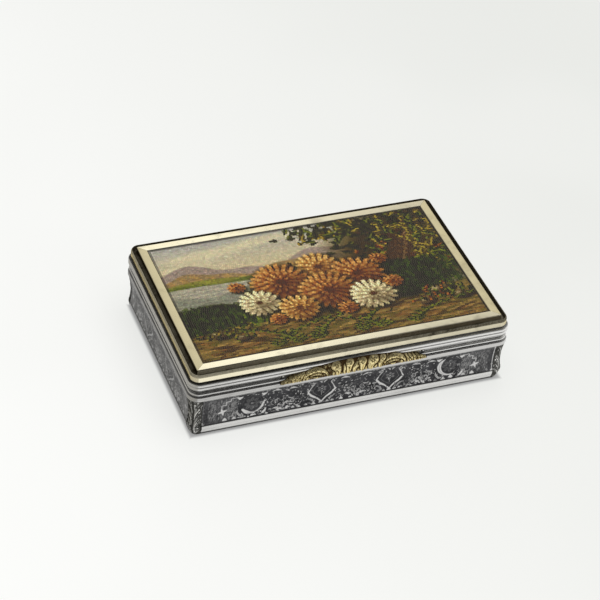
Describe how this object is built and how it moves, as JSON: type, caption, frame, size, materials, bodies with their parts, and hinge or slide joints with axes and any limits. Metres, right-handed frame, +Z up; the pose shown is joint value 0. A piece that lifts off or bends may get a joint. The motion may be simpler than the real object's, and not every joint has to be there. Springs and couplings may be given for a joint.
{
  "type": "snuff box",
  "caption": "Rectangular silver snuff box with niello walls, a gold-rimmed hinged lid carrying a mosaic picture, and a scrolled thumbpiece.",
  "frame": {"origin": "centre of the flat underside that the box rests on, midway between the outer faces of the lid rim", "axes": "+X along the length to the right seen from the thumbpiece, +Y towards the hinge, +Z up"},
  "size_m": [0.0874, 0.059, 0.0206],
  "materials": {
    "silver": "polished silver with a soft grey patina in its hollows",
    "niello": "silver engraved and filled with dark niello, rubbed smooth",
    "gold": "polished pale gold",
    "gilt": "satin gilding",
    "copper": "rough worked copper",
    "steel": "drawn wire",
    "cement": "matt cement",
    "mosaic": "small opaque glass tesserae, ground flat and waxed"
  },
  "bodies": {
    "base": {"bottom_plate": "gilt", "gilt_lining": "gilt", "foot_front": "silver", "foot_back": "silver", "foot_left": "silver", "foot_right": "silver", "wall_front": "niello", "wall_back": "niello", "wall_left": "niello", "wall_right": "niello", "pilaster_back_right": "silver", "pilaster_back_left": "silver", "pilaster_front_left": "silver", "pilaster_front_right": "silver", "ledge_moulding": "silver", "base_knuckle_1": "silver", "base_knuckle_2": "silver", "base_knuckle_3": "silver", "base_knuckle_4": "silver", "hinge_pin": "steel"},
    "lid": {"lid_knuckle_1": "silver", "lid_knuckle_2": "silver", "lid_knuckle_3": "silver", "lid_band": "silver", "lid_plate": "gilt", "lid_rim": "gold", "frame_front": "gold", "frame_back": "gold", "frame_left": "gold", "frame_right": "gold", "mosaic_tray": "copper", "mosaic_cement": "cement", "mosaic_face": "mosaic", "thumbpiece": "gold", "rivet_left": "silver", "rivet_right": "silver"}
  },
  "joints": [
    {"name": "lid_hinge", "type": "hinge", "parent": "base", "child": "lid", "pos_m": [0, 0.02835, 0.01339], "axis": [-1, 0, 0], "range_deg": [0, 100]}
  ]
}
